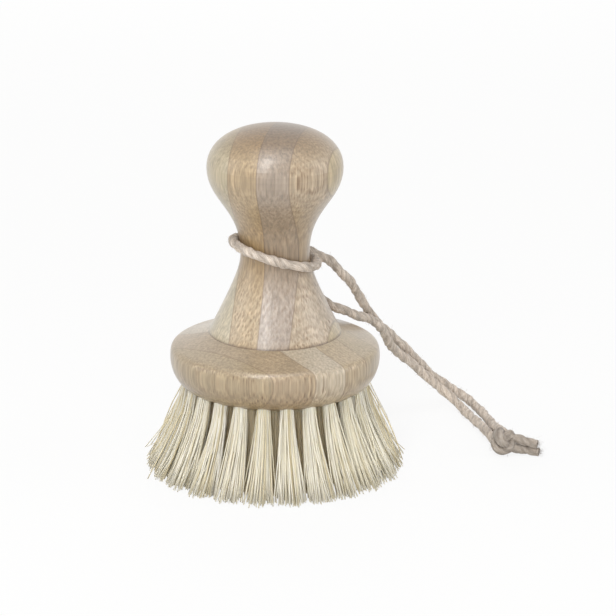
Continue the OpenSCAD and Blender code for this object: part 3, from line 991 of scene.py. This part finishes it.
def twine_skin(points, sides, ups, start_mm, scale, closed):
    """Vertices and faces of the twisted surface, its grain, and one on a ply's crest, minus one between."""
    steps = np.linalg.norm(np.diff(points, axis=0), axis=1)
    at = start_mm + np.concatenate([[0], np.cumsum(steps)])
    angle = np.linspace(0, 2 * math.pi, TWINE_SIDES, endpoint=False)
    lean = angle[None] - (2 * math.pi * at / LAY_MM + waves(at, TWIST_WAVES))[:, None]
    reach = lobed_radius(lean, scale) * (1 + waves(at, SWELL_WAVES))[:, None]
    around = np.cos(angle)[None, :, None] * sides[:, None] + np.sin(angle)[None, :, None] * ups[:, None]
    vertices = (points[:, None] + reach[..., None] * around).reshape(-1, 3)
    count = len(points)
    k = np.arange(TWINE_SIDES)[None]
    after = (k + 1) % TWINE_SIDES
    rings = count if closed else count - 1
    base = (np.arange(rings) * TWINE_SIDES)[:, None]
    following = (np.arange(1, rings + 1) % count * TWINE_SIDES)[:, None]
    faces = np.stack([base + k, base + after, following + after, following + k], -1).reshape(-1, 4).tolist()
    if not closed:
        faces.append(list(range(TWINE_SIDES))[::-1])
        faces.append([(count - 1) * TWINE_SIDES + i for i in range(TWINE_SIDES)])
    grain = np.stack([np.cos(lean), np.sin(lean), np.repeat(at[:, None], TWINE_SIDES, 1)], -1).reshape(-1, 3)
    return vertices, faces, grain, np.cos(PLIES * lean).reshape(-1)


print("Crossings of the plies are this far apart, mm:", LAY_MM / PLIES)

# %% [markdown]
# Loose fibres stand off the twine everywhere, and more of them at a cut end, which opens a little.
# Round the neck they only stand outwards, because the wood is in their way.

# %% Loose fibres
HAIRS_A_MM = 3
HAIR_R = 0.045
HAIR_SIDES = 3
HAIR_STATIONS = np.linspace(0, 1, 4)
HAIR_LONGEST = 1.5
HAIR_SHORTEST = 0.3  # Share of the longest.
HAIR_ROOT = 0.8  # Share of the twine's radius, so the root is under its skin.
HAIR_OUT, HAIR_ALONG, HAIR_CURL = 0.75, 0.8, 0.5
NECK_CLEAR = 15


def hair_lines(rng, points, sides, ups):
    """Centre lines of short fibres that stand off the twine, count x 4 x 3."""
    count = int(HAIRS_A_MM * path_length(points))
    at = rng.integers(0, len(points), count)
    turn = rng.uniform(0, 2 * math.pi, count)[:, None]
    out = np.cos(turn) * sides[at] + np.sin(turn) * ups[at]
    off_axis = points[at, :2]
    inward = (np.linalg.norm(off_axis, axis=1) < NECK_CLEAR) & ((out[:, :2] * off_axis).sum(1) < 0)
    out[inward] *= -1
    way = np.sign(rng.normal(size=count))[:, None] * unit(np.gradient(points, axis=0))[at]
    curl = rng.normal(0, 0.5, (count, 3))
    length = rng.uniform(HAIR_SHORTEST, 1, count)[:, None] * HAIR_LONGEST
    start = points[at] + HAIR_ROOT * TWINE_D / 2 * out
    straight = HAIR_OUT * out + HAIR_ALONG * way
    return np.stack([start + length * (t * straight + HAIR_CURL * t * t * curl) for t in HAIR_STATIONS], 1)


print("Loose fibres on the route:", int(HAIRS_A_MM * path_length(route)))

# %% Frayed ends
FRAY_SPOT = 0.45
FRAY_CURL = 0.25
FRAY_LENGTHS = (0.5, 1.6)
FRAY_INSIDE = 0.5
FRAY_OPEN = 0.3


def frayed_lines(rng, points, count):
    """Centre lines of the loose fibres at the cut end of a tail, count x 4 x 3."""
    way = unit(points[-1] - points[-4])
    spot = rng.normal(0, FRAY_SPOT, (count, 3))
    spot -= (spot @ way)[:, None] * way
    curl = rng.normal(0, FRAY_CURL, (count, 3))
    length = rng.uniform(*FRAY_LENGTHS, count)[:, None]
    start = points[-1] - FRAY_INSIDE * way + spot
    straight = way + FRAY_OPEN * spot
    return np.stack([start + length * (t * straight + t * t * curl) for t in HAIR_STATIONS], 1)


print("Frayed fibres stand out, mm:", round(FRAY_LENGTHS[1] - FRAY_INSIDE, 1))

# %% A stretch of twine
def twine(name, points, frames, start_mm, seed, scale=1.0, painted_shade=1.0, closed=False, frayed=0):
    """A stretch of twisted twine along the points, as one mesh with its loose fibres."""
    rng = np.random.default_rng(seed)
    _, sides, ups = frames
    vertices, faces, grain, crest = twine_skin(points, sides, ups, start_mm, scale, closed)
    lines = hair_lines(rng, points, sides, ups)
    if frayed:
        lines = np.concatenate([lines, frayed_lines(rng, points, frayed)])
    hairs, hair_faces = rods(lines, HAIR_R, HAIR_R / 2, HAIR_SIDES)
    faces += [[i + len(vertices) for i in face] for face in hair_faces]
    vertices = np.concatenate([vertices, hairs])
    vertices[:, 2] = np.maximum(vertices[:, 2], 0)  # The twine lies flat on the table.
    piece = add_mesh(name, vertices, faces, jute_material, "hanging_loop", "twine")
    add_attribute(piece, "grain", np.concatenate([grain, hairs]))
    crest = np.concatenate([crest, np.zeros(len(hairs))])
    add_attribute(piece, "ply", np.stack([crest, np.full(len(crest), painted_shade), crest * 0], -1))
    print(name, "mm:", round(path_length(points)))
    return piece


def route_piece(name, first, last, seed):
    """The stretch of the route between two of its points, in step with the rest of the twine."""
    part = slice(first, last + 1)
    return twine(name, route[part], [axis[part] for axis in frames], path_length(route[: first + 1]), seed)


upper_strand = route_piece("upper_strand", 0, upper_end, 11)
neck_twine = route_piece("neck_twine", upper_end, lower_start, 12)
lower_strand = route_piece("lower_strand", lower_start, len(route) - 1, 13)
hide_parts("loop_strand_upper")
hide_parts("neck_loop")
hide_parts("loop_strand_lower")

# %% [markdown]
# ## The end knot
# Both strands are tied together in one overhand knot and pulled tight. The turns of such a knot follow a trefoil, so a
# trefoil curve, fattened along its axis and laid twice side by side, gives the crossings that one sees, and the strands
# and the tails run into it. The twine is squeezed thinner there, and its colour is painted darker, a painted shade for
# the little light that gets between its turns.

# %% End knot
KNOT_AT = (61, 6, 3.8)
KNOT_R = 1.6
KNOT_SWELL = 0.9
KNOT_HEIGHT = 1.65
KNOT_PAIR_TURN = math.radians(26)
KNOT_TWINE_SCALE = 0.95
KNOT_STEPS = 150
KNOT_LEAN = (math.radians(74), math.radians(12), math.radians(38))
KNOT_SHADE = 0.63


def trefoil(turn):
    """A closed trefoil curve in millimetres, turned about its axis, leaned and moved to the knot's place."""
    t = np.linspace(0, 2 * math.pi, KNOT_STEPS, endpoint=False)
    reach = KNOT_R + KNOT_SWELL * np.cos(3 * t)
    height = KNOT_HEIGHT * np.sin(3 * t)
    points = np.stack([reach * np.cos(2 * t + turn), reach * np.sin(2 * t + turn), height], -1)
    for axis, angle in enumerate(KNOT_LEAN):
        a, b = (axis + 1) % 3, (axis + 2) % 3
        first, second = points[:, a].copy(), points[:, b].copy()
        points[:, a] = math.cos(angle) * first - math.sin(angle) * second
        points[:, b] = math.sin(angle) * first + math.cos(angle) * second
    return points + KNOT_AT


for number, turn in enumerate((0, KNOT_PAIR_TURN)):
    points = trefoil(turn)
    twine(f"end_knot_strand_{number + 1}", points, path_frames(points, closed=True), 0, 21 + number,
              scale=KNOT_TWINE_SCALE, painted_shade=KNOT_SHADE, closed=True)
    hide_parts("end_knot")

# %% Tails past the knot
TAIL_UPPER_ROUTE = [(63.5, 6, 4.5), (67, 5, 4), (71, 3.5, 3.5)]
TAIL_LOWER_ROUTE = [(63.5, 5.5, 2.2), (67, 5.5, 1.5), (71.5, 4, 1.2)]
TAIL_START = 0.45
TAIL_FRAY_STEPS = 4
FRAYED_FIBRES = 90
# The tails are painted a little darker too, as painted shade.
TAIL_SHADE = 0.72

for name, points, seed in (("tail_upper", TAIL_UPPER_ROUTE, 31), ("tail_lower", TAIL_LOWER_ROUTE, 32)):
    inside = np.array(KNOT_AT) + TAIL_START * (np.array(points[0]) - KNOT_AT)
    path = smooth_path([tuple(inside), *points], TWINE_STEP)[0][:-TAIL_FRAY_STEPS]
    twine(name + "_twine", path, path_frames(path), 0, seed, painted_shade=TAIL_SHADE, frayed=FRAYED_FIBRES)
    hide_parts(name)

# %% [markdown]
# Both strands hang free between the neck and the end knot, and their lengths are printed.

# %% Cords
print("Strands, mm:", round(path_length(route[: upper_end + 1])), round(path_length(route[lower_start:])))

# %% [markdown]
# ## The floor
# The photograph is a cut-out on white. A pale floor that catches the soft shadow is lifted towards
# white for what the camera, a reflection or a look through something sees, and keeps its plain
# colour for the light that it throws back.

# %% Floor
FLOOR_SIZE = 6.0
FLOOR_WHITE = 0.87


def seen_directly(tree):
    """One where the camera, a reflection or a look through something meets the surface."""
    ray = add_node(tree, "ShaderNodeLightPath").node.outputs
    seen = ray["Is Camera Ray"]
    for other in ("Is Glossy Ray", "Is Transmission Ray"):
        seen = add_node(tree, "ShaderNodeMath", {0: seen, 1: ray[other]}, operation="MAXIMUM")
    return seen


def add_floor():
    """A pale floor that keeps the shadow."""
    mesh = bpy.data.meshes.new("floor")
    half = FLOOR_SIZE / 2
    mesh.from_pydata([(-half, -half, 0), (half, -half, 0), (half, half, 0), (-half, half, 0)], [], [(0, 1, 2, 3)])
    floor = bpy.data.objects.new("floor", mesh)
    bpy.context.scene.collection.objects.link(floor)
    material, tree, shader = new_material("pale_matt_floor")
    shader.inputs["Base Color"].default_value = linear("#e6e6e4")
    shader.inputs["Roughness"].default_value = 1.0
    shader.inputs["Specular IOR Level"].default_value = 0.0
    white = add_node(tree, "ShaderNodeEmission", {"Color": (1, 1, 1, 1), "Strength": 1.0})
    share = add_node(tree, "ShaderNodeMath", {0: seen_directly(tree), 1: FLOOR_WHITE}, operation="MULTIPLY")
    mixed = add_node(tree, "ShaderNodeMixShader", {0: share, 1: shader.outputs[0], 2: white})
    tree.links.new(mixed, tree.nodes["Material Output"].inputs["Surface"])
    mesh.materials.append(material)
    return floor


print("Floor, m across:", add_floor().dimensions.x)

# %% [markdown]
# ## The light
# Even light comes from all round, and white fills what is seen of the surroundings. Large soft lamps
# do the modelling: a tall narrow one, left of the camera, makes the upright shine on the lacquer,
# broad low ones in front and behind light the tufts under the head, and weaker ones open up the
# sides and the top. They stay plain enough that a colour shows about as it is written.

# %% Surroundings
SKY_STRENGTH = 0.3


def add_world():
    """Even soft light from all round, with white for what is seen directly."""
    world = bpy.data.worlds.new("studio")
    bpy.context.scene.world = world
    world.use_nodes = True
    tree = world.node_tree
    tree.nodes.clear()
    soft = add_node(tree, "ShaderNodeBackground", {"Color": (1, 1, 1, 1), "Strength": SKY_STRENGTH})
    white = add_node(tree, "ShaderNodeBackground", {"Color": (1, 1, 1, 1), "Strength": 1.0})
    mixed = add_node(tree, "ShaderNodeMixShader", {0: seen_directly(tree), 1: soft, 2: white})
    add_node(tree, "ShaderNodeOutputWorld", {"Surface": mixed})
    return world


print("World nodes:", len(add_world().node_tree.nodes))

# %% Lamps
def add_lamp(name, azimuth, elevation, distance, size, power, mirrored=True):
    """A softbox aimed at the middle of the brush. Azimuth 0 is the camera's side, and left is negative.

    One that isn't mirrored lights the brush but leaves no shine on the lacquer, as behind a polariser.
    """
    data = bpy.data.lights.new(name, "AREA")
    data.shape = "RECTANGLE"
    data.size, data.size_y = size
    data.energy = power
    lamp = bpy.data.objects.new(name, data)
    azimuth, elevation = math.radians(azimuth), math.radians(elevation)
    lamp.location = (
        distance * math.cos(elevation) * math.sin(azimuth),
        -distance * math.cos(elevation) * math.cos(azimuth),
        CAMERA_TARGET_Z + distance * math.sin(elevation),
    )
    lamp.rotation_euler = (math.pi / 2 - elevation, 0, azimuth)
    lamp.visible_glossy = mirrored
    bpy.context.scene.collection.objects.link(lamp)


# Name, azimuth and elevation in degrees, distance and size in metres, power in watts.
add_lamp("tall_softbox", -21, 51, 0.8, (0.14, 0.72), 3.3)
add_lamp("front_softbox", 6, 10, 1.0, (0.8, 0.6), 5.2, mirrored=False)
add_lamp("right_softbox", 85, 20, 0.9, (0.5, 0.6), 1.3)
add_lamp("left_softbox", -85, 20, 0.9, (0.5, 0.6), 1.1)
add_lamp("top_softbox", 0, 82, 0.8, (0.6, 0.6), 1.5)
add_lamp("back_softbox", 180, 20, 1.0, (0.8, 0.6), 4.2, mirrored=False)
bpy.context.scene.view_settings.view_transform = "Standard"
print("Lamps:", len(bpy.data.lights))
